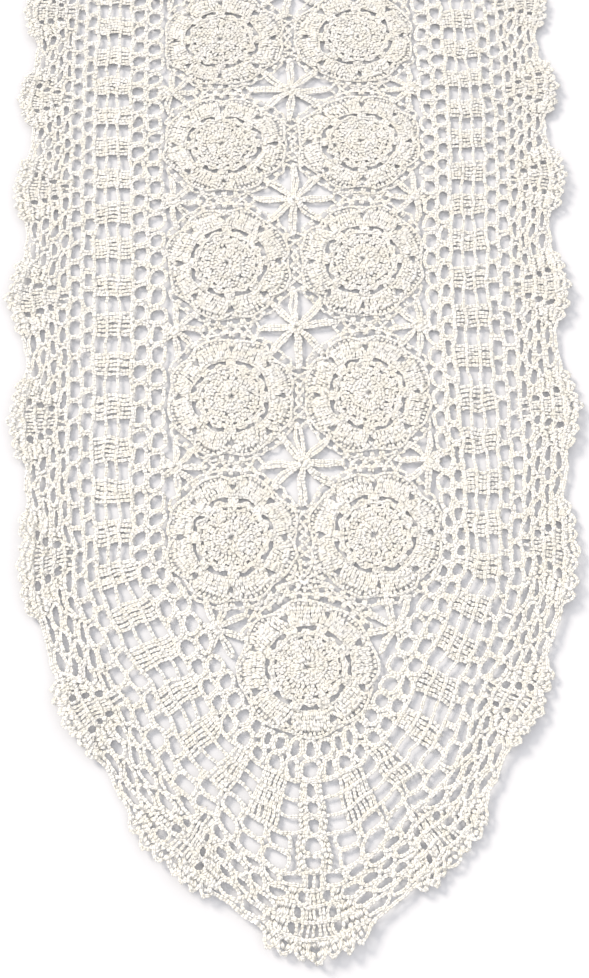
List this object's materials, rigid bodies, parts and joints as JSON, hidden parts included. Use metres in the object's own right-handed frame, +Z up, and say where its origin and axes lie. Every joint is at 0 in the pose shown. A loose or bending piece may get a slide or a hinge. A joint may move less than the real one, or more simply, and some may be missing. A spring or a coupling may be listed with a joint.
{
  "type": "crochet table runner",
  "caption": "Pointed-oval crochet table runner with round medallions, star fillings and a scalloped net border, lying flat.",
  "frame": {"origin": "middle of the underside, between the two medallions of the middle row", "axes": "+Y along the runner, +X across it, +Z up through the cloth; the pointed end that faces the viewer in the picture is at -Y"},
  "size_m": [0.4343, 1.192, 0.0027],
  "materials": {
    "cotton": "matte cream-white crochet cotton"
  },
  "bodies": {
    "root": {"runner": "cotton"}
  },
  "joints": []
}
